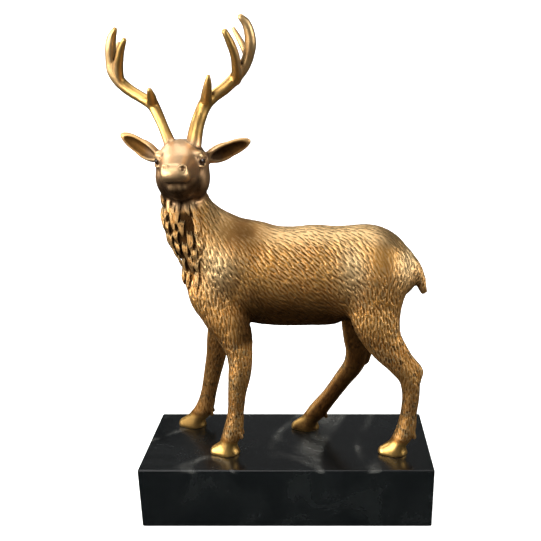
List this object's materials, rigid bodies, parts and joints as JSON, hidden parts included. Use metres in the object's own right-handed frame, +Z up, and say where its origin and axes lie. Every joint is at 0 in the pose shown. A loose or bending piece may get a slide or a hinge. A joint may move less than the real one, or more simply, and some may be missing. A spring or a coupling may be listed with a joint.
{
  "type": "deer figurine",
  "caption": "Cast brass stag standing with its head turned to the near side, on a rectangular block of polished black marble.",
  "frame": {"origin": "centre of the plinth's underside", "axes": "+Z up; +X along the plinth from the stag's chest to its tail; +Y to the stag's far side, away from the side its face looks to"},
  "size_m": [0.2081, 0.0772, 0.333],
  "materials": {
    "brass": "satin brass, brown patina in the fur, bright on the hooves and antlers",
    "marble": "polished black with faint grey clouding"
  },
  "bodies": {
    "root": {"stag": "brass", "plinth": "marble"}
  },
  "joints": []
}
